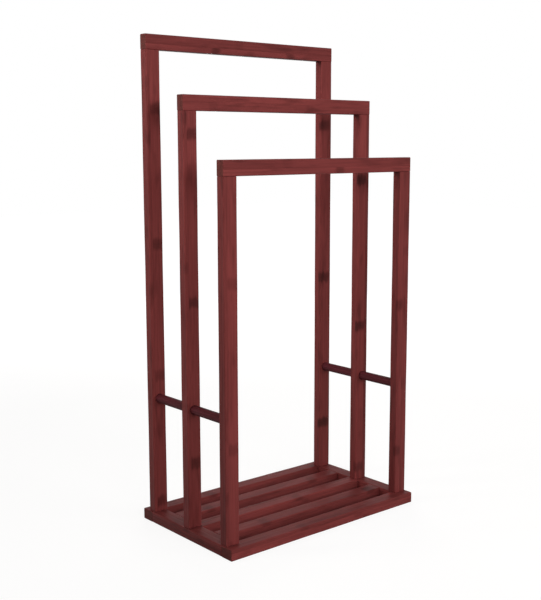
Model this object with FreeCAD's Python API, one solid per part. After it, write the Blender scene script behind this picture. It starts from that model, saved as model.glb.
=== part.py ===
"""Three-tier free-standing towel rack in laminated bamboo: model of every separate piece, in millimetres.

Three upright frames of rising height stand one behind the other on a slatted base. Each frame is two posts
under one top rail. Short round spacers tie the posts together at each side, about a quarter of the way up.
The base is two long rails with two end boards between them, and three slightly thinner slats tenoned into the
end boards. One screw from below holds each post, and glued pins hold the frame and base corners.

Origin: centre of the base's footprint, on the floor. X runs along the rails, Y from front to back, Z up.
"""

import FreeCAD
import Part
import math
import os

# ---- driving dimensions ----
BASE_LENGTH = 400.0        # X
BASE_DEPTH = 240.0         # Y
BASE_THICKNESS = 18.0      # long rails and end boards
STICK_WIDTH = 25.0         # face width of every post, base rail, end board and slat
POST_DEPTH = 16.0          # front-to-back depth of posts and top rails
RAIL_HEIGHT = 24.0         # height of a top rail
SLAT_THICKNESS = 17.0      # slats are flush with the top of the base
SLAT_COUNT = 3
FRAME_WIDTH = 396.0        # over both posts
FRAME_PITCH = 97.0         # from one frame to the next
FRONT_HEIGHT = 600.0       # top of the front frame above the floor
HEIGHT_STEP = 96.0         # each frame is this much taller than the one before it
EDGE_RADIUS = 1.5          # eased long edges
END_CHAMFER = 0.5          # eased sawn ends

SPACER_DIAMETER = 15.0
SPACER_HEIGHT = 211.0      # centre line above the floor
SPIGOT_DIAMETER = 8.0      # turned end of a spacer
SPIGOT_LENGTH = 6.0
TENON_WIDTH = 15.0         # slat tenon
TENON_THICKNESS = 6.0
TENON_LENGTH = 6.0

FRAME_PIN = (6.0, 30.0)    # diameter, length: two at each top corner of a frame
FRAME_PIN_SPREAD = 12.0    # between the two pins of one corner
FRAME_PIN_IN_RAIL = 13.0   # how far a frame pin reaches into the rail
CORNER_PIN = (6.0, 40.0)   # diameter, length: one at each corner of the base
CORNER_PIN_INSET = 6.5     # its centre line from the base's end
CORNER_PIN_IN_RAIL = 16.0  # how far it reaches into the long rail
PIN_CHAMFER = 0.8

SCREW_SHANK = 5.0          # over the thread
SCREW_CORE = 3.6
SCREW_HEAD = 9.0
SCREW_HEAD_HEIGHT = 3.5
SCREW_LENGTH = 50.0        # under the head
SCREW_THREAD_LENGTH = 34.0
SCREW_THREAD_PITCH = 2.2
SCREW_THREAD_CREST = 0.22  # flat on the top of each ridge
SCREW_POINT = 4.0          # length of the conical tip
SOCKET_ACROSS_FLATS = 4.0
SOCKET_DEPTH = 2.2
SOCKET_SIDES = 6
COUNTERBORE = (9.8, 5.0)   # diameter, depth

GLUE_GAP = 0.05            # clearance round every pin, tenon, spigot and screw
END_GAP = 0.5              # room at the bottom of a blind hole
SAME_PLACE = 0.01          # two places nearer than this are the same one

# ---- derived places ----
FRAMES = {
    "front": (-FRAME_PITCH, FRONT_HEIGHT),
    "middle": (0.0, FRONT_HEIGHT + HEIGHT_STEP),
    "back": (FRAME_PITCH, FRONT_HEIGHT + 2 * HEIGHT_STEP),
}
SIDES = {"left": -1, "right": 1}
POST_X = (FRAME_WIDTH - STICK_WIDTH) / 2                      # centre line of a post
END_BOARD_X = (BASE_LENGTH - STICK_WIDTH) / 2                 # centre line of an end board
LONG_RAIL_Y = (BASE_DEPTH - STICK_WIDTH) / 2                  # centre line of a long rail
END_BOARD_LENGTH = BASE_DEPTH - 2 * STICK_WIDTH
SLAT_LENGTH = BASE_LENGTH - 2 * STICK_WIDTH
SLAT_GAP = (BASE_DEPTH - (SLAT_COUNT + 2) * STICK_WIDTH) / (SLAT_COUNT + 1)
SLAT_PITCH = STICK_WIDTH + SLAT_GAP
SLAT_Z = BASE_THICKNESS - SLAT_THICKNESS / 2                  # centre line of a slat
CORNER_PIN_X = BASE_LENGTH / 2 - CORNER_PIN_INSET
SLAT_Y = {
    "front": -SLAT_PITCH,
    "middle": 0.0,
    "back": SLAT_PITCH,
}
AXES = {
    "x": FreeCAD.Vector(1, 0, 0),
    "y": FreeCAD.Vector(0, 1, 0),
    "z": FreeCAD.Vector(0, 0, 1),
}


def block(size, centre):
    """A plain box of that size about that centre."""
    corner = FreeCAD.Vector(*[c - s / 2 for s, c in zip(size, centre)])
    return Part.makeBox(*size, corner)


def rod(diameter, length, start, axis):
    """A cylinder that starts at a point and runs along +axis."""
    return Part.makeCylinder(diameter / 2, length, FreeCAD.Vector(*start), AXES[axis])


def stick(size, centre, grain):
    """A bar with its edges along the grain rounded and its sawn ends lightly chamfered."""
    box = block(size, centre)
    direction = AXES[grain]
    long_edges = [e for e in box.Edges if reach(e, direction) > SAME_PLACE]
    bar = box.makeFillet(EDGE_RADIUS, long_edges)
    half_length = reach(bar, direction) / 2
    middle = FreeCAD.Vector(*centre).dot(direction)
    end_edges = []
    for edge in bar.Edges:
        from_middle = abs(edge.CenterOfMass.dot(direction) - middle)
        if reach(edge, direction) < SAME_PLACE and half_length - from_middle < SAME_PLACE:
            end_edges.append(edge)
    return bar.makeChamfer(END_CHAMFER, end_edges)


def reach(shape, direction):
    """How far a shape reaches along one of the three axes."""
    box = shape.BoundBox
    return FreeCAD.Vector(box.XLength, box.YLength, box.ZLength).dot(direction)


def pin(diameter, length, start, axis):
    """A glued pin with chamfered ends."""
    body = rod(diameter, length, start, axis)
    rims = [e for e in body.Edges if isinstance(e.Curve, Part.Circle)]
    return body.makeChamfer(PIN_CHAMFER, rims)


def frame_pin_places(frame):
    """Lowest point of each of a frame's four corner pins."""
    y, height = FRAMES[frame]
    diameter, length = FRAME_PIN
    bottom = height - RAIL_HEIGHT + FRAME_PIN_IN_RAIL - length
    return [
        (side * POST_X + offset * FRAME_PIN_SPREAD / 2, y, bottom)
        for side in SIDES.values()
        for offset in (-1, 1)
    ]


def frame_pin_holes(frame):
    """Holes for a frame's corner pins, a little wider and longer than the pins."""
    diameter, length = FRAME_PIN
    return Part.makeCompound([
        rod(diameter + 2 * GLUE_GAP, length + 2 * END_GAP, (x, y, z - END_GAP), "z")
        for x, y, z in frame_pin_places(frame)
    ])


def spacer_spans():
    """Each spacer's side and the two frames that it ties, front frame first."""
    return [
        (side, nearer, farther)
        for side in SIDES
        for nearer, farther in (("front", "middle"), ("middle", "back"))
    ]


def spacer(side, nearer, farther):
    """A round spacer with a turned spigot at each end, between the faces of two posts."""
    x = SIDES[side] * POST_X
    start = FRAMES[nearer][0] + POST_DEPTH / 2
    end = FRAMES[farther][0] - POST_DEPTH / 2
    length = end - start
    body = rod(SPACER_DIAMETER, length, (x, start, SPACER_HEIGHT), "y")
    spigots_start = (x, start - SPIGOT_LENGTH, SPACER_HEIGHT)
    spigots = rod(SPIGOT_DIAMETER, length + 2 * SPIGOT_LENGTH, spigots_start, "y")
    return body.fuse(spigots).removeSplitter()


def spigot_holes(side, frame):
    """Blind holes in one post for the spacers that meet it."""
    x = SIDES[side] * POST_X
    y = FRAMES[frame][0]
    depth = SPIGOT_LENGTH + END_GAP
    diameter = SPIGOT_DIAMETER + 2 * GLUE_GAP
    holes = []
    if frame != "back":
        holes.append(rod(diameter, depth, (x, y + POST_DEPTH / 2 - depth, SPACER_HEIGHT), "y"))
    if frame != "front":
        holes.append(rod(diameter, depth, (x, y - POST_DEPTH / 2, SPACER_HEIGHT), "y"))
    return Part.makeCompound(holes)


def screw_places():
    """X and Y of the six post screws."""
    return [(side * POST_X, y) for side in SIDES.values() for y, height in FRAMES.values()]


def screw_clearances():
    """Through hole and counterbore in the base for every post screw."""
    bore, depth = COUNTERBORE
    cuts = []
    for x, y in screw_places():
        cuts.append(rod(SCREW_SHANK + 2 * GLUE_GAP, BASE_THICKNESS, (x, y, 0), "z"))
        cuts.append(rod(bore, depth, (x, y, 0), "z"))
    return Part.makeCompound(cuts)


def screw_hole(side, frame):
    """Hole up the foot of one post for its screw."""
    x = SIDES[side] * POST_X
    y = FRAMES[frame][0]
    head_top = COUNTERBORE[1]
    reach = head_top + SCREW_LENGTH + END_GAP - BASE_THICKNESS
    return rod(SCREW_SHANK + 2 * GLUE_GAP, reach, (x, y, BASE_THICKNESS), "z")


def post_screw(x, y):
    """A flat-headed screw that points up: head, ridged shank, pointed tip and hexagon socket. Its ridges are
    rings, not a helix."""
    seat = COUNTERBORE[1]
    head_bottom = seat - SCREW_HEAD_HEIGHT
    tip = seat + SCREW_LENGTH
    thread_start = tip - SCREW_POINT - SCREW_THREAD_LENGTH
    outer, core = SCREW_SHANK / 2, SCREW_CORE / 2
    outline = [(0, head_bottom), (SCREW_HEAD / 2, head_bottom), (SCREW_HEAD / 2, seat), (core, seat)]
    turns = int(SCREW_THREAD_LENGTH / SCREW_THREAD_PITCH)
    for turn in range(turns):
        z = thread_start + turn * SCREW_THREAD_PITCH
        crest = z + (SCREW_THREAD_PITCH - SCREW_THREAD_CREST) / 2
        outline.append((core, z))
        outline.append((outer, crest))
        outline.append((outer, crest + SCREW_THREAD_CREST))
    outline.append((core, thread_start + turns * SCREW_THREAD_PITCH))
    outline.append((0, tip))
    outline.append(outline[0])
    points = [FreeCAD.Vector(x + r, y, z) for r, z in outline]
    face = Part.Face(Part.makePolygon(points))
    solid = face.revolve(FreeCAD.Vector(x, y, 0), AXES["z"], 360)
    return solid.cut(hexagon_socket(x, y, head_bottom))


def hexagon_socket(x, y, z):
    """The hexagonal recess in a screw's head."""
    corner_radius = SOCKET_ACROSS_FLATS / 2 / math.cos(math.pi / SOCKET_SIDES)
    spin = FreeCAD.Rotation(AXES["z"], 360 / SOCKET_SIDES)
    arm = FreeCAD.Vector(corner_radius, 0, 0)
    corners = []
    for corner in range(SOCKET_SIDES + 1):
        corners.append(FreeCAD.Vector(x, y, z) + arm)
        arm = spin.multVec(arm)
    return Part.Face(Part.makePolygon(corners)).extrude(AXES["z"] * SOCKET_DEPTH)


def post(side, frame):
    """One post, from the top of the base to the underside of its rail."""
    y, height = FRAMES[frame]
    top = height - RAIL_HEIGHT
    size = (STICK_WIDTH, POST_DEPTH, top - BASE_THICKNESS)
    centre = (SIDES[side] * POST_X, y, (top + BASE_THICKNESS) / 2)
    bar = stick(size, centre, "z")
    for holes in (frame_pin_holes(frame), spigot_holes(side, frame), screw_hole(side, frame)):
        bar = bar.cut(holes)
    return bar


def top_rail(frame):
    """One towel rail, over both posts of its frame."""
    y, height = FRAMES[frame]
    bar = stick((FRAME_WIDTH, POST_DEPTH, RAIL_HEIGHT), (0, y, height - RAIL_HEIGHT / 2), "x")
    return bar.cut(frame_pin_holes(frame))


def frame_pins(frame):
    """The four pins that hold a frame's top corners."""
    diameter, length = FRAME_PIN
    return Part.makeCompound([pin(diameter, length, place, "z") for place in frame_pin_places(frame)])


def corner_pin_places():
    """Front end of each of the base's four corner pins."""
    length = CORNER_PIN[1]
    joint = BASE_DEPTH / 2 - STICK_WIDTH
    front = -joint - CORNER_PIN_IN_RAIL
    back = joint + CORNER_PIN_IN_RAIL - length
    return [(side * CORNER_PIN_X, y, BASE_THICKNESS / 2) for side in SIDES.values() for y in (front, back)]


def corner_pin_holes():
    """Holes for the base's corner pins."""
    diameter, length = CORNER_PIN
    return Part.makeCompound([
        rod(diameter + 2 * GLUE_GAP, length + 2 * END_GAP, (x, y - END_GAP, z), "y")
        for x, y, z in corner_pin_places()
    ])


def corner_pins():
    """The four pins that hold the base's corners."""
    diameter, length = CORNER_PIN
    return Part.makeCompound([pin(diameter, length, place, "y") for place in corner_pin_places()])


def long_rail(sign):
    """The base's front (-1) or back (+1) rail, which runs its full length."""
    bar = stick((BASE_LENGTH, STICK_WIDTH, BASE_THICKNESS), (0, sign * LONG_RAIL_Y, BASE_THICKNESS / 2), "x")
    return bar.cut(corner_pin_holes()).cut(screw_clearances())


def end_board(side):
    """The base's left or right end board, between the long rails, mortised for the slats."""
    sign = SIDES[side]
    size = (STICK_WIDTH, END_BOARD_LENGTH, BASE_THICKNESS)
    bar = stick(size, (sign * END_BOARD_X, 0, BASE_THICKNESS / 2), "y")
    inner_face = sign * SLAT_LENGTH / 2
    depth = TENON_LENGTH + END_GAP
    for y in SLAT_Y.values():
        mortise = (depth, TENON_WIDTH + 2 * GLUE_GAP, TENON_THICKNESS + 2 * GLUE_GAP)
        bar = bar.cut(block(mortise, (inner_face + sign * depth / 2, y, SLAT_Z)))
    return bar.cut(corner_pin_holes()).cut(screw_clearances())


def slat(y):
    """One slat with a stub tenon at each end."""
    bar = stick((SLAT_LENGTH, STICK_WIDTH, SLAT_THICKNESS), (0, y, SLAT_Z), "x")
    tenons = block((SLAT_LENGTH + 2 * TENON_LENGTH, TENON_WIDTH, TENON_THICKNESS), (0, y, SLAT_Z))
    return bar.fuse(tenons).removeSplitter()


def build():
    """Every node's name and shape."""
    nodes = {
        "base_front_rail": long_rail(-1),
        "base_back_rail": long_rail(1),
        "base_corner_pins": corner_pins(),
        "post_screws": Part.makeCompound([post_screw(x, y) for x, y in screw_places()]),
    }
    for side in SIDES:
        nodes["base_" + side + "_end_board"] = end_board(side)
    for name, y in SLAT_Y.items():
        nodes["base_" + name + "_slat"] = slat(y)
    for frame in FRAMES:
        nodes[frame + "_top_rail"] = top_rail(frame)
        nodes[frame + "_frame_pins"] = frame_pins(frame)
        for side in SIDES:
            nodes[frame + "_" + side + "_post"] = post(side, frame)
    for side, nearer, farther in spacer_spans():
        nodes[side + "_" + nearer + "_to_" + farther + "_spacer"] = spacer(side, nearer, farther)
    return nodes


os.makedirs("parts", exist_ok=True)
for name, shape in build().items():
    if not shape.isValid():
        raise ValueError(name + " is not a valid shape")
    shape.exportStep("parts/" + name + ".step")
    print(name, len(shape.Solids), "solid(s)", round(shape.Volume / 1000, 2), "cm3")
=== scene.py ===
"""Three-tier towel rack of stained laminated bamboo, with its studio floor, lamps and camera.

Laid out as an add-on and run as a script. Every stick is a rounded rectangle carried along its grain, with
the glued strips, the culm nodes and the fibre direction worked out as numbers on its surface, which the
bamboo material then paints.
"""

import math

import bpy
import numpy as np
from bpy.props import FloatProperty, FloatVectorProperty, PointerProperty
from mathutils import Euler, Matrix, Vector


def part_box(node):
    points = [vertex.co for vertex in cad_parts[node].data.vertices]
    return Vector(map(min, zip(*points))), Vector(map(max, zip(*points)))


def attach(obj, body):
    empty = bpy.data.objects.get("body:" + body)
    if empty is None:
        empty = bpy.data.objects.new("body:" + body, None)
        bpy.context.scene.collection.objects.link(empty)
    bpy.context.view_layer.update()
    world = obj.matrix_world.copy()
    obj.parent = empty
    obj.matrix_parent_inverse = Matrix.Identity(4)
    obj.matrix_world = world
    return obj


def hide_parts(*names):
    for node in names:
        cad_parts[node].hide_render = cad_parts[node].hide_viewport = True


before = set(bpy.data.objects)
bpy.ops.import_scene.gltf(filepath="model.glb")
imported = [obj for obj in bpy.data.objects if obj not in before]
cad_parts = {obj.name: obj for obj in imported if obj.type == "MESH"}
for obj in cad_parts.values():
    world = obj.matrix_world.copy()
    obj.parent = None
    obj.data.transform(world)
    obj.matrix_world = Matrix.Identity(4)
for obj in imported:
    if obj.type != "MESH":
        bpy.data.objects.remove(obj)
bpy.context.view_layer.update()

bl_info = {
    "name": "Bamboo Towel Rack",
    "version": (1, 0, 0),
    "blender": (4, 5, 0),
    "location": "View3D > Sidebar > Towel Rack",
    "description": "Builds a three-tier towel rack of stained laminated bamboo",
    "category": "Add Mesh",
}

MM = 0.001
SIDES = ("left", "right")
TIERS = ("front", "middle", "back")
AXIS = {"x": 0, "y": 1, "z": 2}

# The widest strip in the face that each stick shows: where its first culm node falls and the distance to
# the next, in millimetres from the stick's low end, the share of the face that it takes, counted from the
# left or the bottom (or, where negative, from the right or the top), its tone from pale 0 to deep 1, and
# how dark its nodes are. Last comes the tone of the strips beside it on the stick's left or front, which
# is partly the wood's own tone and partly painted light and shade: deep where that side lies in shade,
# pale where it is in full light.
FACE_STRIPS = {
    "front_left_post": (152.0, 252.0, -0.76, 0.25, 0.6, 0.9),
    "front_right_post": (78.0, 257.0, 0.45, 0.45, 0.6, 0.5),
    "middle_left_post": (108.0, 257.0, -0.76, 0.30, 0.7, 0.5),
    "middle_right_post": (26.0, 259.0, 0.70, 0.05, 0.9, 0.1),
    "back_left_post": (20.0, 214.0, -0.78, 0.25, 0.7, 0.5),
    "back_right_post": (88.0, 276.0, 0.86, 0.30, 0.9, 0.0),
    "front_top_rail": (234.0, 260.0, 0.42, 0.35, 0.7, 0.6),
    "middle_top_rail": (60.0, 198.0, 0.55, 0.35, 0.2, 0.4),
    "back_top_rail": (138.0, 162.0, 0.38, 0.50, 0.8, 0.3),
    "base_front_rail": (150.0, 215.0, 0.60, 0.75, 0.4, 0.0),
    "base_left_end_board": (95.0, 230.0, 0.55, 0.50, 0.5, 1.0),
    "base_front_slat": (90.0, 240.0, 0.70, 0.60, 0.6, 1.0),
    "base_middle_slat": (210.0, 250.0, 0.65, 0.15, 0.5, 0.3),
    "base_back_slat": (60.0, 230.0, 0.70, 0.50, 0.6, 1.0),
    "base_back_rail": (130.0, 240.0, 0.60, 0.50, 0.5, 0.9),
}


def linear(code):
    """An sRGB hex colour such as "7A3535" as linear red, green and blue."""
    parts = [int(code[at:at + 2], 16) / 255 for at in (0, 2, 4)]
    return tuple(p / 12.92 if p <= 0.04045 else ((p + 0.055) / 1.055) ** 2.4 for p in parts)


# ---- sizes and colours that a user would change ----

class StickSettings(bpy.types.PropertyGroup):
    """Sizes shared by every stick of the rack."""

    edge_radius: FloatProperty(
        name="Edge Radius", description="Rounding of the long edges", default=1.5 * MM, unit="LENGTH")
    edge_wander: FloatProperty(
        name="Edge Wander", description="How much hand sanding changes that rounding along a stick",
        default=0.35 * MM, unit="LENGTH")
    end_chamfer: FloatProperty(
        name="End Chamfer", description="Easing of the sawn ends", default=0.5 * MM, unit="LENGTH")
    strip_thickness: FloatProperty(
        name="Strip Thickness", description="Thickness of one bamboo strip in the lamination",
        default=5.4 * MM, unit="LENGTH")
    seam_width: FloatProperty(
        name="Seam Width", description="Width of the sunken line between two strips",
        default=0.45 * MM, unit="LENGTH")
    seam_depth: FloatProperty(
        name="Seam Depth", description="Depth of that line", default=0.06 * MM, unit="LENGTH")
    face_wave: FloatProperty(
        name="Face Wave", description="Deepest hollow that the planer leaves in a face",
        default=0.06 * MM, unit="LENGTH")
    ring_spacing: FloatProperty(
        name="Ring Spacing", description="Distance between rings of the mesh along the grain",
        default=4.0 * MM, unit="LENGTH")
    column_width: FloatProperty(
        name="Column Width", description="Distance between columns of the mesh round a section",
        default=3.0 * MM, unit="LENGTH")


class BambooSettings(bpy.types.PropertyGroup):
    """Colours and grain of the stained bamboo."""

    stain_light: FloatVectorProperty(
        name="Light Stain", description="Stain on pale fibre", subtype="COLOR", default=linear("823B39"))
    stain_deep: FloatVectorProperty(
        name="Deep Stain", description="Stain on open, thirsty fibre", subtype="COLOR", default=linear("5A2726"))
    node_stain: FloatVectorProperty(
        name="Node Stain", description="Stain on the hard wood of a culm node", subtype="COLOR",
        default=linear("341413"))
    end_stain: FloatVectorProperty(
        name="End Grain Stain", description="Stain soaked into the sawn ends", subtype="COLOR",
        default=linear("4A2823"))
    spacer_stain: FloatVectorProperty(
        name="Spacer Stain", description="Darker stain of the round spacers", subtype="COLOR",
        default=linear("6A2B34"))
    fibre_width: FloatProperty(
        name="Fibre Width", description="Width of one fibre bundle", default=0.6 * MM, unit="LENGTH")
    fibre_length: FloatProperty(
        name="Fibre Length", description="Length over which a bundle keeps its tone",
        default=28 * MM, unit="LENGTH")
    streak_width: FloatProperty(
        name="Streak Width", description="Width of the broad streaks that show from across a room",
        default=2.6 * MM, unit="LENGTH")
    streak_length: FloatProperty(
        name="Streak Length", description="Length of those streaks", default=90 * MM, unit="LENGTH")
    node_length: FloatProperty(
        name="Node Length", description="Length of the dark band at a culm node", default=19 * MM, unit="LENGTH")
    roughness: FloatProperty(
        name="Roughness", description="Roughness of the satin lacquer", default=0.45, min=0, max=1)


class FittingSettings(bpy.types.PropertyGroup):
    """Sizes of the spacers, pins and screw holes."""

    spigot_radius: FloatProperty(
        name="Spigot Radius", description="Radius of a spacer's turned end", default=4.0 * MM, unit="LENGTH")
    spigot_length: FloatProperty(
        name="Spigot Length", description="Length of a spacer's turned end", default=6.0 * MM, unit="LENGTH")
    tenon_width: FloatProperty(
        name="Tenon Width", description="Width of a slat's tenon", default=15.0 * MM, unit="LENGTH")
    tenon_thickness: FloatProperty(
        name="Tenon Thickness", description="Thickness of a slat's tenon", default=6.0 * MM, unit="LENGTH")
    tenon_length: FloatProperty(
        name="Tenon Length", description="Length of a slat's tenon", default=6.0 * MM, unit="LENGTH")
    bore_radius: FloatProperty(
        name="Counterbore Radius", description="Radius of the recess round a screw's head",
        default=4.9 * MM, unit="LENGTH")
    bore_depth: FloatProperty(
        name="Counterbore Depth", description="Depth of that recess", default=5.0 * MM, unit="LENGTH")
    screw_radius: FloatProperty(
        name="Screw Hole Radius", description="Radius of the hole for a screw's shank",
        default=2.55 * MM, unit="LENGTH")
    zinc: FloatVectorProperty(
        name="Zinc", description="Colour of the screws' plating", subtype="COLOR", default=linear("B9BCC0"))
    beech: FloatVectorProperty(
        name="Beech", description="Colour of the bare pins", subtype="COLOR", default=linear("C9A57A"))


class StudioSettings(bpy.types.PropertyGroup):
    """Floor, lamps and camera."""

    floor: FloatVectorProperty(
        name="Floor", description="Colour of the plain floor", subtype="COLOR", default=linear("72706E"))
    floor_size: FloatProperty(
        name="Floor Size", description="Width of the floor", default=14.0, unit="LENGTH")
    floor_glow: FloatProperty(
        name="Floor Glow", description="How much whiter the floor looks than it is, near the rack",
        default=0.87, min=0)
    world_fill: FloatProperty(
        name="World Fill", description="Strength of the light from all round", default=0.14, min=0)
    gloss_behind: FloatProperty(
        name="Gloss Behind", description="How much of the white backdrop gloss shows", default=0.5, min=0, max=1)
    gloss_in_front: FloatProperty(
        name="Gloss in Front", description="How much light gloss shows from the darker room in front",
        default=0.15, min=0, max=1)
    front_lamp: FloatProperty(
        name="Front Lamp", description="Power of the wide lamp in front", default=35, unit="POWER")
    left_lamp: FloatProperty(
        name="Left Lamp", description="Power of the lamp close by on the left", default=3.0, unit="POWER")
    far_left_lamp: FloatProperty(
        name="Far Left Lamp", description="Power of the high lamp far behind on the left", default=4.8, unit="POWER")
    back_lamp: FloatProperty(
        name="Back Lamp", description="Power of the lamp behind on the right", default=23, unit="POWER")
    lens: FloatProperty(
        name="Lens", description="Focal length for a 36 mm sensor", default=60.55, unit="CAMERA")
    camera_place: FloatVectorProperty(
        name="Camera Place", description="Where the camera stands", subtype="TRANSLATION",
        default=(-1.0828, -1.2618, 0.6207))
    camera_turn: FloatVectorProperty(
        name="Camera Turn", description="Tilt up from straight down, roll, and turn about the vertical",
        subtype="EULER", default=(math.radians(81.27), math.radians(0.12), math.radians(-40.08)))


def settings_of(name):
    """One of the rack's groups of settings, by its name on the scene."""
    return getattr(bpy.context.scene, name)


# ---- surfaces ----

def random_of(name):
    """A random generator that always gives the same draws for the same piece."""
    return np.random.default_rng(sum(name.encode()) * 7919 % 100003)


def wave(places, draw, lengths, count=3):
    """A smooth irregular line from 0 to 1: the mean of a few sines with drawn wavelengths and phases."""
    shape = (count,) + (1,) * places.ndim
    wavelength = draw.uniform(*lengths, count).reshape(shape)
    phase = draw.uniform(0, 2 * np.pi, count).reshape(shape)
    return 0.5 + 0.5 * np.sin(2 * np.pi * places / wavelength + phase).mean(axis=0)


def side_places(half, seams, stick):
    """Places across one flat side of a section, and which of them are seams: a support beside each rounded
    edge, an even fill between them, and three places for every seam, its two lips and its bottom."""
    reach = half - 1.6 * stick.edge_radius - stick.edge_wander
    fill = np.linspace(-reach, reach, max(3, int(round(2 * reach / stick.column_width)) + 1))
    seams = seams[np.abs(seams) < reach - stick.seam_width]
    clear = np.all(np.abs(fill[:, None] - seams[None, :]) > stick.seam_width, axis=1)
    lips = (seams[:, None] + stick.seam_width * np.array([-0.5, 0.0, 0.5])).ravel()
    places = np.concatenate([fill[clear], lips])
    bottom = np.concatenate([np.zeros(clear.sum()), np.tile([0.0, 1.0, 0.0], len(seams))])
    order = np.argsort(places)
    return places[order], bottom[order]


def stick_outline(half, layers, cuts, stick, steps=5):
    """The closed outline of a section, anticlockwise, as three vectors per point. With half-sizes h and
    edge radius r, a point is corner * (h - r) + normal * r + slide: corner and normal are set on the
    rounded edges, and slide moves a point across a flat side."""
    corner, normal, slide, bottom = [], [], [], []
    turns = ((0, -1), (1, 0), (0, 1), (-1, 0))
    for turn, (nv, nw) in enumerate(turns):
        across = 0 if nv == 0 else 1
        seams = layers if across == 1 else cuts[0 if nw < 0 else -1]
        places, sunk = side_places(half[across], seams, stick)
        heading = 1 if turn < 2 else -1
        places, sunk = places[::heading], sunk[::heading]
        flat = np.zeros((len(places), 2))
        flat[:, across] = places
        corner.append(np.tile([float(nv), float(nw)], (len(places), 1)))
        normal.append(np.tile([float(nv), float(nw)], (len(places), 1)))
        slide.append(flat)
        bottom.append(sunk)
        angle = np.linspace(0, np.pi / 2, steps + 1) + np.arctan2(nw, nv)
        arc = np.stack([np.cos(angle), np.sin(angle)], axis=1)
        next_v, next_w = turns[(turn + 1) % 4]
        corner.append(np.tile([float(nv + next_v), float(nw + next_w)], (steps + 1, 1)))
        normal.append(arc)
        slide.append(np.zeros((steps + 1, 2)))
        bottom.append(np.zeros(steps + 1))
    return [np.concatenate(part) for part in (corner, normal, slide, bottom)]


def ring_places(length, stick, tenon=None):
    """The rings along a stick: distance along the grain, how far each is drawn in for the eased ends, and
    whether it belongs to a tenon. Even spacing between the two ends, with the ends' chamfers added."""
    ease = stick.end_chamfer
    count = max(8, int(round(length / stick.ring_spacing)))
    middle = np.linspace(2 * ease, length - 2 * ease, count)
    place = np.concatenate([[0.0, ease], middle, [length - ease, length]])
    inset = np.zeros(len(place))
    inset[[0, -1]] = ease
    is_tenon = np.zeros(len(place), bool)
    if tenon:
        place = np.concatenate([[-tenon, ease - tenon, 0.0], place, [length, length + tenon - ease, length + tenon]])
        inset = np.concatenate([[ease, 0.0, 0.0], inset, [0.0, 0.0, ease]])
        is_tenon = np.concatenate([[True] * 3, is_tenon, [True] * 3])
    return place, inset, is_tenon


def build_mesh(name, points, faces, maps, flags, materials, material_index):
    """Puts whole arrays into a mesh: faces is a list of index arrays, maps gives two numbers per face corner
    and flags one number per point. Faces are smooth, with sharp edges where the surface turns fast."""
    mesh = bpy.data.meshes.new(name)
    mesh.from_pydata(points.tolist(), [], [face for group in faces for face in group.tolist()])
    for label, values in maps.items():
        layer = mesh.uv_layers.new(name=label, do_init=False)
        layer.data.foreach_set("uv", values.astype(np.float32).ravel())
    for label, values in flags.items():
        layer = mesh.attributes.new(label, "FLOAT", "POINT")
        layer.data.foreach_set("value", values.astype(np.float32).ravel())
    for material in materials:
        mesh.materials.append(material)
    mesh.polygons.foreach_set("material_index", material_index.astype(np.int32))
    mesh.polygons.foreach_set("use_smooth", np.ones(len(mesh.polygons), bool))
    mesh.set_sharp_from_angle(angle=math.radians(32))
    mesh.validate()
    mesh.update()
    piece = bpy.data.objects.new(name, mesh)
    bpy.context.scene.collection.objects.link(piece)
    return piece


def nearest_node(place, middle, first, spacing):
    """Signed distance from each place to the culm node nearest to the middle of its face: nodes stand at
    first plus a whole number of spacings."""
    return place - (first + spacing * np.round((middle - first) / spacing))


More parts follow.
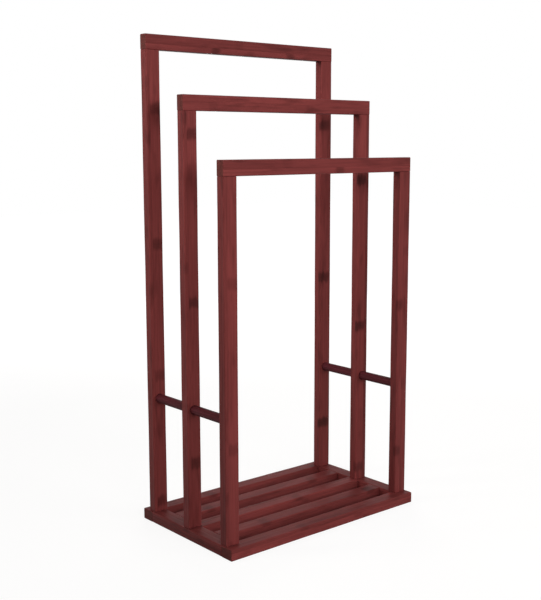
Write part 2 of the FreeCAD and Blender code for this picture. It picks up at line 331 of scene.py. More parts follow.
def build_stick(node, grain, across, through, face, materials, tenon=None):
    """One stick in a CAD node's box: the outline carried along the grain. Ring i and outline point j give
    the point (u_i, v_ij, w_ij), with v and w as stick_outline says, drawn in by the end chamfer, the seams
    and the planer's shallow hollows. The edge radius wanders slowly along the stick."""
    stick = settings_of("rack_sticks")
    fitting = settings_of("rack_fittings")
    draw = random_of(node)
    low, high = (np.array(corner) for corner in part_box(node))
    axes = [AXIS[grain], AXIS[across], AXIS[through]]
    centre = (low + high) / 2
    length, width, thickness = (high - low)[axes]
    start = low[axes[0]]
    if tenon:
        length -= 2 * tenon
        start += tenon
    half = np.array([width, thickness]) / 2

    layer_count = max(2, int(round(thickness / stick.strip_thickness)))
    layers = np.linspace(-half[1], half[1], layer_count + 1)[1:-1]
    cuts = [np.array([draw.uniform(-0.55, 0.55)]) * half[0] for layer in range(layer_count)]
    face_layer = 0 if face < 0 else layer_count - 1
    share = FACE_STRIPS[node][2] if node in FACE_STRIPS else 0.74
    cuts[face_layer] = np.array([half[0] * (2 * share - 1 if share > 0 else 2 * share + 1)])
    first = draw.uniform(20, 240, (layer_count, 2)) * MM
    spacing = draw.uniform(215, 285, (layer_count, 2)) * MM
    tone = draw.uniform(0, 1, (layer_count, 2))
    strength = draw.uniform(0.05, 0.45, (layer_count, 2))
    wide = 0 if share > 0 else 1
    if node in FACE_STRIPS:
        chosen = face_layer, wide
        first[chosen], spacing[chosen] = (value * MM for value in FACE_STRIPS[node][:2])
        # The strips beside the face take the table's last tone: partly the wood's own tone, partly painted shade
        # where it is deep and painted light where it is pale.
        tone[:, 0] = FACE_STRIPS[node][5]
        tone[chosen], strength[chosen] = FACE_STRIPS[node][3:5]

    corner, normal, slide, bottom = stick_outline(half, layers, cuts, stick)
    place, inset, is_tenon = ring_places(length, stick, tenon)
    shape_half = np.where(is_tenon[:, None], np.array([fitting.tenon_width, fitting.tenon_thickness]) / 2, half)
    radius = stick.edge_radius + stick.edge_wander * (2 * wave(place, draw, (0.07, 0.3)) - 1)
    radius = np.where(is_tenon, stick.edge_radius / 2, radius)
    inner = shape_half - radius[:, None]
    scale = (shape_half / half)[:, None, :]
    around = np.arctan2(normal[:, 1], normal[:, 0])
    hollow = stick.face_wave * wave(place[:, None] + 0.05 * around[None, :], draw, (0.05, 0.2))
    sink = inset[:, None] + np.where(is_tenon[:, None], 0, stick.seam_depth * bottom[None, :] + hollow)
    section = (corner[None] * inner[:, None, :] + normal[None] * (radius[:, None] - sink)[:, :, None]
               + slide[None] * scale)
    rings, columns = section.shape[:2]
    points = np.empty((rings, columns, 3))
    points[..., axes[0]] = (place + start)[:, None]
    points[..., axes[1]] = section[..., 0] + centre[axes[1]]
    points[..., axes[2]] = section[..., 1] + centre[axes[2]]

    ring, column = np.meshgrid(np.arange(rings - 1), np.arange(columns), indexing="ij")
    after = (column + 1) % columns
    corners_ring = np.stack([ring, ring, ring + 1, ring + 1], axis=-1)
    corners_column = np.stack([column, after, after, column], axis=-1)
    quads = (corners_ring * columns + corners_column).reshape(-1, 4)
    caps = np.stack([np.arange(columns)[::-1], (rings - 1) * columns + np.arange(columns)])

    body = section[rings // 2]
    middle = (body + np.roll(body, -1, axis=0)) / 2
    layer = np.searchsorted(layers, middle[:, 1])
    strip = (middle[:, 0] > np.array(cuts)[layer, 0]).astype(int)
    u = place[corners_ring]
    u_middle = np.broadcast_to(((place[:-1] + place[1:]) / 2)[:, None, None], u.shape)
    distance = nearest_node(u, u_middle, first[layer, strip][None, :, None], spacing[layer, strip][None, :, None])
    vw = section[corners_ring, corners_column]
    tones = np.broadcast_to(tone[layer, strip][None, :, None], u.shape)
    shift = draw.uniform(0, 9)
    side_maps = {
        "grain": np.stack([u + shift, vw[..., 0]], axis=-1),
        "depth": np.stack([vw[..., 1], tones], axis=-1),
        "culm": np.stack([distance, np.broadcast_to(strength[layer, strip][None, :, None], u.shape)], axis=-1),
    }
    layer_numbers = (thickness / layer_count, layer_count % 2 / 2)
    ends = section[[0, -1]].copy()
    ends[0] = ends[0, ::-1]
    cap_maps = {
        "grain": np.stack([np.full(ends.shape[:2], shift), ends[..., 0]], axis=-1),
        "depth": np.stack([ends[..., 1], np.full(ends.shape[:2], 0.5)], axis=-1),
        "culm": np.broadcast_to(layer_numbers, ends.shape),
    }
    shoulder = (place[:-1] == place[1:])[ring.ravel()]
    side_maps["culm"] = np.where(shoulder[:, None, None], layer_numbers, side_maps["culm"].reshape(-1, 4, 2))
    hand = np.linalg.det(np.eye(3)[axes])
    maps = {}
    for label, sides in side_maps.items():
        sides, flat = sides.reshape(-1, 4, 2), cap_maps[label]
        if hand < 0:
            sides, flat = sides[:, ::-1], flat[:, ::-1]
        maps[label] = np.concatenate([sides.reshape(-1, 2), flat.reshape(-1, 2)])
    if hand < 0:
        quads, caps = quads[:, ::-1], caps[:, ::-1]
    material_index = np.concatenate([shoulder.astype(int), [1, 1]])
    seam = np.broadcast_to(bottom[None, :], (rings, columns))
    piece = build_mesh(node + "_bamboo", points.reshape(-1, 3), (quads, caps), maps, {"seam": seam},
                       materials, material_index)
    return finish_piece(piece, node)


def finish_piece(piece, node):
    """Puts a new piece in a CAD node's place: it joins the root body, and the CAD node is hidden."""
    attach(piece, "root")
    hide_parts(node)
    return piece


def drill(piece, holes):
    """Cuts round holes, each (centre of one end, axis, radius, length), out of a piece. A hole is a closed
    cylinder: a ring of points at each end, at even angles."""
    angle = np.linspace(0, 2 * np.pi, 49)[:-1]
    for end, axis, radius, length in holes:
        first, second = (AXIS[axis] + 1) % 3, (AXIS[axis] + 2) % 3
        points = np.tile(np.array(end, float), (2, len(angle), 1))
        points[..., first] += radius * np.cos(angle)
        points[..., second] += radius * np.sin(angle)
        points[1, :, AXIS[axis]] += length
        at = np.arange(len(angle))
        after = np.roll(at, -1)
        sides = np.stack([at, after, after + len(angle), at + len(angle)], axis=1).tolist()
        ends = [at[::-1].tolist(), (at + len(angle)).tolist()]
        mesh = bpy.data.meshes.new("hole")
        mesh.from_pydata(points.reshape(-1, 3).tolist(), [], sides + ends)
        cutter = bpy.data.objects.new("hole", mesh)
        bpy.context.scene.collection.objects.link(cutter)
        cut = piece.modifiers.new("hole", "BOOLEAN")
        cut.object = cutter
        cut.solver = "EXACT"
        bpy.context.view_layer.update()
        evaluated = piece.evaluated_get(bpy.context.evaluated_depsgraph_get())
        drilled = bpy.data.meshes.new_from_object(evaluated)
        piece.modifiers.clear()
        piece.data = drilled
        bpy.data.objects.remove(cutter)
    return piece


# ---- materials ----

COLOUR_A, COLOUR_B, COLOUR_OUT = 6, 7, 2   # a Mix node's colour sockets, which share their names with others


def add_node(tree, kind, inputs=None, **settings):
    """Adds one shader node, sets its properties, and gives each named input a value or a link."""
    node = tree.nodes.new("ShaderNode" + kind)
    for key, value in settings.items():
        setattr(node, key, value)
    for socket, value in (inputs or {}).items():
        if isinstance(value, bpy.types.NodeSocket):
            tree.links.new(value, node.inputs[socket])
        else:
            node.inputs[socket].default_value = value
    return node


def new_material(name):
    """A material with an empty node tree and its output."""
    material = bpy.data.materials.new(name)
    material.use_nodes = True
    tree = material.node_tree
    tree.nodes.clear()
    return material, tree, add_node(tree, "OutputMaterial")


def colour(value):
    """A colour property as red, green, blue and alpha."""
    return (*value, 1.0)


def stained_bamboo(name, light, deep, node_depth=0.8):
    """Laminated moso bamboo, planed, dipped in mahogany stain and sprayed with a satin lacquer. The eye
    sees straight fibre bundles, strips of slightly different tone, dark bands where the culm had its
    nodes, and a soft even sheen. The streaks are drawn wider than single fibres, so that they show."""
    wood = settings_of("rack_bamboo")
    material, tree, output = new_material(name)

    grain = add_node(tree, "Attribute", attribute_name="grain").outputs["Vector"]
    depth = add_node(tree, "Attribute", attribute_name="depth").outputs["Vector"]
    culm = add_node(tree, "Attribute", attribute_name="culm").outputs["Vector"]
    seam = add_node(tree, "Attribute", attribute_name="seam").outputs["Fac"]
    grain = add_node(tree, "SeparateXYZ", {"Vector": grain})
    depth = add_node(tree, "SeparateXYZ", {"Vector": depth})
    culm = add_node(tree, "SeparateXYZ", {"Vector": culm})
    # Each strip's tone: the wood's own tone, and on some sides also painted light and shade set in FACE_STRIPS.
    tone = depth.outputs["Y"]
    own = add_node(tree, "Math", {0: tone, 1: 13.0, 2: grain.outputs["X"]}, operation="MULTIPLY_ADD")
    place = add_node(tree, "CombineXYZ", {"X": own.outputs[0], "Y": grain.outputs["Y"], "Z": depth.outputs["X"]})

    def grain_noise(length, width, detail, low, high):
        """Noise stretched along the grain, spread from 0 to 1."""
        size = add_node(tree, "VectorMath", {0: place.outputs[0], 1: (1 / length, 1 / width, 1 / width)},
                        operation="MULTIPLY")
        noise = add_node(tree, "TexNoise", {"Vector": size.outputs[0], "Scale": 1.0, "Detail": detail,
                                            "Roughness": 0.55})
        return add_node(tree, "MapRange", {"Value": noise.outputs["Fac"], "From Min": low, "From Max": high})

    fibre = grain_noise(wood.fibre_length, wood.fibre_width, 3.0, 0.3, 0.7).outputs[0]
    streak = grain_noise(wood.streak_length, wood.streak_width, 2.0, 0.35, 0.65).outputs[0]
    soak = grain_noise(0.055, 0.011, 1.5, 0.56, 0.74).outputs[0]
    cloud = grain_noise(0.16, 0.03, 0.0, 0.35, 0.65).outputs[0]

    mixed = add_node(tree, "Math", {0: streak, 1: 0.34}, operation="MULTIPLY")
    for part, share in ((fibre, 0.14), (tone, 0.42), (cloud, 0.16)):
        mixed = add_node(tree, "Math", {0: part, 1: share, 2: mixed.outputs[0]}, operation="MULTIPLY_ADD")
    base = add_node(tree, "Mix", {0: mixed.outputs[0], COLOUR_A: colour(light), COLOUR_B: colour(deep)},
                    data_type="RGBA")
    soaked = add_node(tree, "Math", {0: soak, 1: 0.4}, operation="MULTIPLY")
    base = add_node(tree, "Mix", {0: soaked.outputs[0], COLOUR_A: base.outputs[COLOUR_OUT],
                                  COLOUR_B: colour(wood.node_stain)}, data_type="RGBA")

    ripple = grain_noise(0.04, 0.007, 1.0, 0.3, 0.7).outputs[0]
    offset = add_node(tree, "Math", {0: ripple, 1: 5 * MM, 2: culm.outputs["X"]}, operation="MULTIPLY_ADD")
    distance = add_node(tree, "Math", {0: offset.outputs[0]}, operation="ABSOLUTE").outputs[0]
    band = add_node(tree, "MapRange", {"Value": distance, "From Min": 0.24 * wood.node_length,
                                       "From Max": 0.66 * wood.node_length, "To Min": 1.0, "To Max": 0.0},
                    interpolation_type="SMOOTHSTEP").outputs[0]
    ridge = add_node(tree, "MapRange", {"Value": distance, "From Min": 0.3 * MM, "From Max": 1.4 * MM,
                                        "To Min": 1.0, "To Max": 0.0},
                     interpolation_type="SMOOTHSTEP").outputs[0]
    mottle = add_node(tree, "Math", {0: cloud, 1: 0.45, 2: 0.6}, operation="MULTIPLY_ADD")
    dark = add_node(tree, "Math", {0: band, 1: mottle.outputs[0]}, operation="MULTIPLY")
    dark = add_node(tree, "Math", {0: ridge, 1: 0.12, 2: dark.outputs[0]}, operation="MULTIPLY_ADD")
    dark = add_node(tree, "Math", {0: dark.outputs[0], 1: culm.outputs["Y"]}, operation="MULTIPLY")
    dark = add_node(tree, "Math", {0: dark.outputs[0], 1: node_depth}, operation="MULTIPLY", use_clamp=True)
    base = add_node(tree, "Mix", {0: dark.outputs[0], COLOUR_A: base.outputs[COLOUR_OUT],
                                  COLOUR_B: colour(wood.node_stain)}, data_type="RGBA")
    glue = add_node(tree, "Math", {0: seam, 1: 0.45}, operation="MULTIPLY")
    base = add_node(tree, "Mix", {0: glue.outputs[0], COLOUR_A: base.outputs[COLOUR_OUT],
                                  COLOUR_B: colour(wood.node_stain)}, data_type="RGBA")

    rough = add_node(tree, "MapRange", {"Value": fibre, "To Min": wood.roughness - 0.05,
                                        "To Max": wood.roughness + 0.07})
    height = add_node(tree, "Math", {0: streak, 1: 0.6, 2: fibre}, operation="MULTIPLY_ADD")
    height = add_node(tree, "Math", {0: ridge, 1: 1.2, 2: height.outputs[0]}, operation="MULTIPLY_ADD")
    bump = add_node(tree, "Bump", {"Height": height.outputs[0], "Strength": 0.5, "Distance": 0.05 * MM})
    shader = add_node(tree, "BsdfPrincipled", {
        "Base Color": base.outputs[COLOUR_OUT], "Roughness": rough.outputs[0], "Normal": bump.outputs[0],
        "IOR": 1.5, "Specular IOR Level": 0.13})
    tree.links.new(shader.outputs[0], output.inputs[0])
    return material


def sawn_bamboo():
    """The sawn end of laminated bamboo, sealed with the same stain and lacquer. Open vessels drink the
    stain, so the eye sees a near-black field with paler dots of fibre, and a fine line between layers."""
    wood = settings_of("rack_bamboo")
    material, tree, output = new_material("sawn_bamboo_end_grain")
    grain = add_node(tree, "Attribute", attribute_name="grain").outputs["Vector"]
    depth = add_node(tree, "Attribute", attribute_name="depth").outputs["Vector"]
    culm = add_node(tree, "Attribute", attribute_name="culm").outputs["Vector"]
    grain = add_node(tree, "SeparateXYZ", {"Vector": grain})
    depth = add_node(tree, "SeparateXYZ", {"Vector": depth})
    culm = add_node(tree, "SeparateXYZ", {"Vector": culm})
    place = add_node(tree, "CombineXYZ", {"X": grain.outputs["X"], "Y": grain.outputs["Y"],
                                          "Z": depth.outputs["X"]})
    dots = add_node(tree, "TexVoronoi", {"Vector": place.outputs[0], "Scale": 1 / (0.9 * MM),
                                         "Randomness": 0.8})
    fibre = add_node(tree, "MapRange", {"Value": dots.outputs["Distance"], "From Min": 0.15, "From Max": 0.5,
                                        "To Min": 1.0, "To Max": 0.0})
    cloud = add_node(tree, "TexNoise", {"Vector": place.outputs[0], "Scale": 1 / (7 * MM), "Detail": 2.0})
    share = add_node(tree, "Math", {0: fibre.outputs[0], 1: 0.45, 2: 0.0}, operation="MULTIPLY_ADD")
    share = add_node(tree, "Math", {0: cloud.outputs["Fac"], 1: 0.3, 2: share.outputs[0]},
                     operation="MULTIPLY_ADD")
    base = add_node(tree, "Mix", {0: share.outputs[0], COLOUR_A: colour(wood.end_stain),
                                  COLOUR_B: colour(wood.stain_light)}, data_type="RGBA")
    layer = add_node(tree, "Math", {0: depth.outputs["X"], 1: culm.outputs["X"]}, operation="DIVIDE")
    layer = add_node(tree, "Math", {0: layer.outputs[0], 1: culm.outputs["Y"]}, operation="ADD")
    layer = add_node(tree, "Math", {0: layer.outputs[0], 1: 1.0}, operation="PINGPONG")
    line = add_node(tree, "MapRange", {"Value": layer.outputs[0], "From Min": 0.02, "From Max": 0.06,
                                       "To Min": 0.7, "To Max": 0.0})
    base = add_node(tree, "Mix", {0: line.outputs[0], COLOUR_A: base.outputs[COLOUR_OUT],
                                  COLOUR_B: colour(wood.node_stain)}, data_type="RGBA")
    bump = add_node(tree, "Bump", {"Height": fibre.outputs[0], "Strength": 0.6, "Distance": 0.08 * MM})
    shader = add_node(tree, "BsdfPrincipled", {
        "Base Color": base.outputs[COLOUR_OUT], "Roughness": 0.55, "Normal": bump.outputs[0],
        "IOR": 1.5, "Specular IOR Level": 0.13})
    tree.links.new(shader.outputs[0], output.inputs[0])
    return material


def zinc_plated_steel():
    """Cold-headed screw steel with bright zinc plating. The eye sees a pale bluish metal with the faint
    mottled crystals of the plating and fine turning marks."""
    fitting = settings_of("rack_fittings")
    material, tree, output = new_material("zinc_plated_steel")
    place = add_node(tree, "TexCoord").outputs["Object"]
    crystal = add_node(tree, "TexVoronoi", {"Vector": place, "Scale": 1 / (0.7 * MM)})
    noise = add_node(tree, "TexNoise", {"Vector": place, "Scale": 1 / (0.25 * MM), "Detail": 3.0})
    shade = add_node(tree, "MapRange", {"Value": crystal.outputs["Distance"], "To Min": 0.75, "To Max": 1.0})
    base = add_node(tree, "Mix", {0: 1.0, COLOUR_A: colour(fitting.zinc), COLOUR_B: shade.outputs[0]},
                    data_type="RGBA", blend_type="MULTIPLY")
    rough = add_node(tree, "MapRange", {"Value": noise.outputs["Fac"], "To Min": 0.22, "To Max": 0.42})
    bump = add_node(tree, "Bump", {"Height": noise.outputs["Fac"], "Strength": 0.3, "Distance": 0.02 * MM})
    shader = add_node(tree, "BsdfPrincipled", {
        "Base Color": base.outputs[COLOUR_OUT], "Metallic": 1.0, "Roughness": rough.outputs[0],
        "Normal": bump.outputs[0]})
    tree.links.new(shader.outputs[0], output.inputs[0])
    return material


def turned_beech():
    """Steamed beech, turned and left bare. The eye sees a pale pinkish wood with short dark flecks along
    the grain and a dry, dull surface."""
    fitting = settings_of("rack_fittings")
    material, tree, output = new_material("turned_beech")
    place = add_node(tree, "TexCoord").outputs["Object"]
    size = add_node(tree, "VectorMath", {0: place, 1: (1 / (0.7 * MM), 1 / (0.7 * MM), 1 / (4 * MM))},
                    operation="MULTIPLY")
    fleck = add_node(tree, "TexNoise", {"Vector": size.outputs[0], "Scale": 1.0, "Detail": 3.0})
    shade = add_node(tree, "MapRange", {"Value": fleck.outputs["Fac"], "From Min": 0.3, "From Max": 0.7,
                                        "To Min": 0.7, "To Max": 1.0})
    base = add_node(tree, "Mix", {0: 1.0, COLOUR_A: colour(fitting.beech), COLOUR_B: shade.outputs[0]},
                    data_type="RGBA", blend_type="MULTIPLY")
    bump = add_node(tree, "Bump", {"Height": fleck.outputs["Fac"], "Strength": 0.4, "Distance": 0.05 * MM})
    shader = add_node(tree, "BsdfPrincipled", {
        "Base Color": base.outputs[COLOUR_OUT], "Roughness": 0.7, "Normal": bump.outputs[0], "IOR": 1.5})
    tree.links.new(shader.outputs[0], output.inputs[0])
    return material


def studio_floor():
    """Seamless matt paper. The eye sees an even pale ground that burns out to the white background, with
    only the object's own soft shadow on it."""
    studio = settings_of("rack_studio")
    material, tree, output = new_material("matt_paper")
    place = add_node(tree, "TexCoord").outputs["Object"]
    fibre = add_node(tree, "TexNoise", {"Vector": place, "Scale": 1 / (1.5 * MM), "Detail": 2.0})
    shade = add_node(tree, "MapRange", {"Value": fibre.outputs["Fac"], "To Min": 0.98, "To Max": 1.0})
    base = add_node(tree, "Mix", {0: 1.0, COLOUR_A: colour(studio.floor), COLOUR_B: shade.outputs[0]},
                    data_type="RGBA", blend_type="MULTIPLY")
    paper = add_node(tree, "BsdfPrincipled", {
        "Base Color": base.outputs[COLOUR_OUT], "Roughness": 0.9, "Specular IOR Level": 0.1})
    away = add_node(tree, "VectorMath", {0: place}, operation="LENGTH").outputs["Value"]
    glow = add_node(tree, "MapRange", {"Value": away, "From Min": 0.9, "From Max": 3.0,
                                       "To Min": studio.floor_glow, "To Max": 1.0}).outputs[0]
    glow = add_node(tree, "Emission", {"Color": (1, 1, 1, 1), "Strength": seen_directly(tree, glow, place)})
    both = add_node(tree, "AddShader", {0: paper.outputs[0], 1: glow.outputs[0]})
    tree.links.new(both.outputs[0], output.inputs[0])
    return material


def seen_directly(tree, strength, place):
    """That strength for rays from the camera and through gloss or glass, and nothing for light on the
    object, so that the background's brightness never lights it. The white backdrop stands behind the rack
    and the room in front is darker, so gloss shows less of it towards the front."""
    studio = settings_of("rack_studio")
    path = add_node(tree, "LightPath").outputs
    toward = add_node(tree, "VectorMath", {0: place}, operation="NORMALIZE").outputs[0]
    toward = add_node(tree, "SeparateXYZ", {"Vector": toward}).outputs["Y"]
    gloss = add_node(tree, "MapRange", {"Value": toward, "From Min": -0.7, "From Max": 0.7,
                                        "To Min": studio.gloss_in_front,
                                        "To Max": studio.gloss_behind}).outputs[0]
    gloss = add_node(tree, "Math", {0: path["Is Glossy Ray"], 1: gloss}, operation="MULTIPLY").outputs[0]
    seen = add_node(tree, "Math", {0: path["Is Camera Ray"], 1: gloss}, operation="MAXIMUM").outputs[0]
    seen = add_node(tree, "Math", {0: path["Is Transmission Ray"], 1: seen}, operation="MAXIMUM").outputs[0]
    return add_node(tree, "Math", {0: seen, 1: strength}, operation="MULTIPLY").outputs[0]


def material_once(name, make):
    """The material of that name, made the first time it is asked for."""
    return bpy.data.materials.get(name) or make()


def bamboo_pair():
    """The two finishes of a stick: along the grain, and on its sawn ends."""
    wood = settings_of("rack_bamboo")
    return (
        material_once("stained_bamboo_satin",
                      lambda: stained_bamboo("stained_bamboo_satin", wood.stain_light, wood.stain_deep)),
        material_once("sawn_bamboo_end_grain", sawn_bamboo),
    )


def build_spacer(node, material):
    """One turned spacer: a circle whose radius changes along its length, from spigot to barrel to spigot,
    with a small chamfer at each shoulder. Point (i, k) is at radius r_i and angle k of 48."""
    fitting = settings_of("rack_fittings")
    stick = settings_of("rack_sticks")
    draw = random_of(node)
    low, high = (np.array(corner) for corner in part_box(node))
    centre = (low + high) / 2
    length = high[1] - low[1]
    barrel = (high[2] - low[2]) / 2
    ease = stick.end_chamfer
    spigot, shoulder = fitting.spigot_radius, fitting.spigot_length
    body = np.linspace(shoulder + ease, length - shoulder - ease, 41)
    place = np.concatenate([[0, ease, shoulder, shoulder], body, [length - shoulder] * 2, [length - ease, length]])
    turned = barrel - 0.05 * MM * wave(body, draw, (0.01, 0.04))
    radius = np.concatenate([[spigot - ease, spigot, spigot, barrel - ease], turned,
                             [barrel - ease, spigot, spigot, spigot - ease]])
    angle = np.linspace(0, 2 * np.pi, 49)[:-1]
    rings, columns = len(place), len(angle)
    points = np.empty((rings, columns, 3))
    points[..., 0] = centre[0] + radius[:, None] * np.cos(angle)
    points[..., 1] = low[1] + place[:, None]
    points[..., 2] = centre[2] + radius[:, None] * np.sin(angle)
    ring, column = np.meshgrid(np.arange(rings - 1), np.arange(columns), indexing="ij")
    after = (column + 1) % columns
    corners_ring = np.stack([ring, ring + 1, ring + 1, ring], axis=-1)
    corners_column = np.stack([column, column, after, after], axis=-1)
    quads = (corners_ring * columns + corners_column).reshape(-1, 4)
    caps = np.stack([np.arange(columns), (rings - 1) * columns + np.arange(columns)[::-1]])
    index = np.concatenate([quads.ravel(), caps.ravel()])
    flat = points.reshape(-1, 3)[index]
    shift = draw.uniform(0, 9)
    far = np.full(len(index), 0.1)
    maps = {
        "grain": np.stack([flat[:, 1] + shift, flat[:, 0] - centre[0]], axis=1),
        "depth": np.stack([flat[:, 2] - centre[2], np.full(len(index), 0.5)], axis=1),
        "culm": np.stack([far, far * 0], axis=1),
    }
    piece = build_mesh(node + "_turned", flat_points(points), (quads, caps), maps, {}, [material],
                       np.zeros(len(quads) + 2))
    return finish_piece(piece, node)


def flat_points(points):
    """A grid of points as one list of points."""
    return points.reshape(-1, 3)


# ---- operators: one for each group of like pieces, and one for the stage ----

class RACK_OT_posts(bpy.types.Operator):
    """Builds the six upright posts"""

    bl_idname = "rack.posts"
    bl_label = "Posts"

    def execute(self, context):
        for tier in TIERS:
            for side in SIDES:
                build_stick(f"{tier}_{side}_post", "z", "x", "y", -1, bamboo_pair())
        return {"FINISHED"}


class RACK_OT_top_rails(bpy.types.Operator):
    """Builds the three towel rails"""

    bl_idname = "rack.top_rails"
    bl_label = "Top Rails"

    def execute(self, context):
        for tier in TIERS:
            build_stick(f"{tier}_top_rail", "x", "z", "y", -1, bamboo_pair())
        return {"FINISHED"}


class RACK_OT_spacers(bpy.types.Operator):
    """Builds the four round spacers between the posts"""

    bl_idname = "rack.spacers"
    bl_label = "Spacers"

    def execute(self, context):
        wood = settings_of("rack_bamboo")
        material = material_once(
            "turned_bamboo_dark_stain",
            lambda: stained_bamboo("turned_bamboo_dark_stain", wood.spacer_stain, wood.node_stain))
        for side in SIDES:
            for pair in ("front_to_middle", "middle_to_back"):
                build_spacer(f"{side}_{pair}_spacer", material)
        return {"FINISHED"}


class RACK_OT_base_frame(bpy.types.Operator):
    """Builds the base's long rails and end boards, drilled from below for the post screws"""

    bl_idname = "rack.base_frame"
    bl_label = "Base Frame"

    def execute(self, context):
        holes = screw_holes()
        for place in ("front", "back"):
            piece = build_stick(f"base_{place}_rail", "x", "y", "z", 1, bamboo_pair())
            drill(piece, holes)
        for side in SIDES:
            piece = build_stick(f"base_{side}_end_board", "y", "x", "z", 1, bamboo_pair())
            drill(piece, holes)
        return {"FINISHED"}


def screw_holes():
    """The screw hole and counterbore under every post, which stands over them."""
    fitting = settings_of("rack_fittings")
    deep = 30 * MM
    holes = []
    for tier in TIERS:
        for side in SIDES:
            low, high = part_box(f"{tier}_{side}_post")
            x, y = (low.x + high.x) / 2, (low.y + high.y) / 2
            holes.append(((x, y, -5 * MM), "z", fitting.screw_radius, deep))
            holes.append(((x, y, -5 * MM), "z", fitting.bore_radius, 5 * MM + fitting.bore_depth))
    return holes


class RACK_OT_slats(bpy.types.Operator):
    """Builds the three slats with their tenons"""

    bl_idname = "rack.slats"
    bl_label = "Slats"

    def execute(self, context):
        fitting = settings_of("rack_fittings")
        for tier in TIERS:
            build_stick(f"base_{tier}_slat", "x", "y", "z", 1, bamboo_pair(), tenon=fitting.tenon_length)
        return {"FINISHED"}


class RACK_OT_fittings(bpy.types.Operator):
    """Finishes the hidden pins and the screws under the base"""

    bl_idname = "rack.fittings"
    bl_label = "Pins and Screws"

    def execute(self, context):
        beech = material_once("turned_beech", turned_beech)
        zinc = material_once("zinc_plated_steel", zinc_plated_steel)
        for node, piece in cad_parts.items():
            if node.endswith("_pins") or node == "post_screws":
                piece.data.materials.clear()
                piece.data.materials.append(zinc if node == "post_screws" else beech)
        return {"FINISHED"}


class RACK_OT_stage(bpy.types.Operator):
    """Builds the floor, the lamps, the world and the camera"""

    bl_idname = "rack.stage"
    bl_label = "Studio"

    def execute(self, context):
        studio = settings_of("rack_studio")
        half = studio.floor_size / 2
        side = np.linspace(-half, half, 9)
        x, y = np.meshgrid(side, side)
        points = np.stack([x, y, np.zeros_like(x)], axis=-1).reshape(-1, 3)
        at = np.arange(81).reshape(9, 9)
        quads = np.stack([at[:-1, :-1], at[:-1, 1:], at[1:, 1:], at[1:, :-1]], axis=-1).reshape(-1, 4)
        mesh = bpy.data.meshes.new("studio_floor")
        mesh.from_pydata(points.tolist(), [], quads.tolist())
        mesh.materials.append(studio_floor())
        floor = bpy.data.objects.new("studio_floor", mesh)
        context.scene.collection.objects.link(floor)
        for name, power, beam, size, place, aim in (
            ("front_lamp", studio.front_lamp, 110, (4.2, 0.9), (-0.1, -2.3, 1.15), (0.0, 0.0, 0.6)),
            ("left_lamp", studio.left_lamp, 85, (0.8, 0.5), (-1.5, 0.0, 1.25), (0.0, 0.0, 1.05)),
            ("far_left_lamp", studio.far_left_lamp, 45, (1.0, 0.8), (-3.0, 1.6, 2.0), (0.0, 0.0, 1.0)),
            ("back_lamp", studio.back_lamp, 110, (1.6, 0.6), (1.7, 2.2, 0.5), (0.0, 0.0, 0.4)),
        ):
            add_lamp(name, power, beam, size, place, aim)
        build_world(context.scene, studio)
        camera = bpy.data.cameras.new("camera")
        camera.sensor_width = 36
        camera.lens = studio.lens
        camera.clip_end = 50
        eye = bpy.data.objects.new("camera", camera)
        eye.location = studio.camera_place
        eye.rotation_euler = Euler(studio.camera_turn, "XYZ")
        context.scene.collection.objects.link(eye)
        context.scene.camera = eye
        context.scene.view_settings.view_transform = "Standard"
        return {"FINISHED"}


def add_lamp(name, power, beam, size, place, aim):
    """A rectangular soft lamp of that width and height, facing a point, with a grid that narrows its beam
    to that many degrees. Gloss doesn't show it, because the white surroundings are already seen there."""
    light = bpy.data.lights.new(name, "AREA")
    light.energy = power
    light.shape = "RECTANGLE"
    light.size, light.size_y = size
    light.spread = math.radians(beam)
    lamp = bpy.data.objects.new(name, light)
    lamp.location = place
    lamp.rotation_euler = (Vector(aim) - Vector(place)).to_track_quat("-Z", "Y").to_euler()
    lamp.visible_glossy = False
    bpy.context.scene.collection.objects.link(lamp)


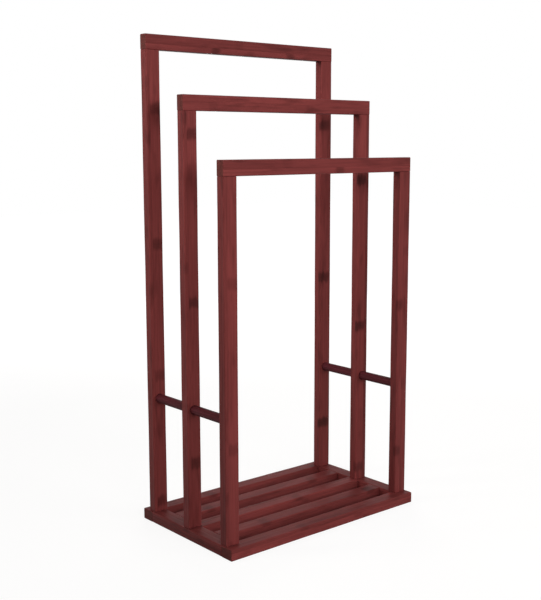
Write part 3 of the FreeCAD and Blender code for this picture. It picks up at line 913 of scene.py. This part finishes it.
def build_world(scene, studio):
    """White where it is seen, and a plain grey fill where it lights the object."""
    world = bpy.data.worlds.new("studio")
    world.use_nodes = True
    tree = world.node_tree
    tree.nodes.clear()
    place = add_node(tree, "TexCoord").outputs["Generated"]
    fill = add_node(tree, "Background", {"Color": (1, 1, 1, 1), "Strength": studio.world_fill})
    white = add_node(tree, "Background", {"Color": (1, 1, 1, 1), "Strength": 1.0})
    both = add_node(tree, "MixShader", {0: seen_directly(tree, 1.0, place), 1: fill.outputs[0],
                                        2: white.outputs[0]})
    output = add_node(tree, "OutputWorld")
    tree.links.new(both.outputs[0], output.inputs[0])
    scene.world = world


class RACK_PT_panel(bpy.types.Panel):
    """Lists the rack's pieces and its sizes and colours"""

    bl_idname = "RACK_PT_panel"
    bl_label = "Towel Rack"
    bl_space_type = "VIEW_3D"
    bl_region_type = "UI"
    bl_category = "Towel Rack"

    def draw(self, context):
        for operator in OPERATORS:
            self.layout.operator(operator.bl_idname)
        for name, group in GROUPS.items():
            box = self.layout.box()
            for field in group.__annotations__:
                box.prop(getattr(context.scene, name), field)


GROUPS = {
    "rack_sticks": StickSettings,
    "rack_bamboo": BambooSettings,
    "rack_fittings": FittingSettings,
    "rack_studio": StudioSettings,
}
OPERATORS = (
    RACK_OT_stage,
    RACK_OT_posts,
    RACK_OT_top_rails,
    RACK_OT_spacers,
    RACK_OT_base_frame,
    RACK_OT_slats,
    RACK_OT_fittings,
)


def register():
    """Registers the settings, the operators and the panel."""
    for name, group in GROUPS.items():
        bpy.utils.register_class(group)
        setattr(bpy.types.Scene, name, PointerProperty(type=group))
    for operator in OPERATORS:
        bpy.utils.register_class(operator)
    bpy.utils.register_class(RACK_PT_panel)


def unregister():
    """Takes them away again."""
    bpy.utils.unregister_class(RACK_PT_panel)
    for operator in reversed(OPERATORS):
        bpy.utils.unregister_class(operator)
    for name, group in reversed(GROUPS.items()):
        delattr(bpy.types.Scene, name)
        bpy.utils.unregister_class(group)


def main():
    """Builds everything."""
    register()
    for operator in OPERATORS:
        category, name = operator.bl_idname.split(".")
        getattr(getattr(bpy.ops, category), name)()


if __name__ == "__main__":
    main()
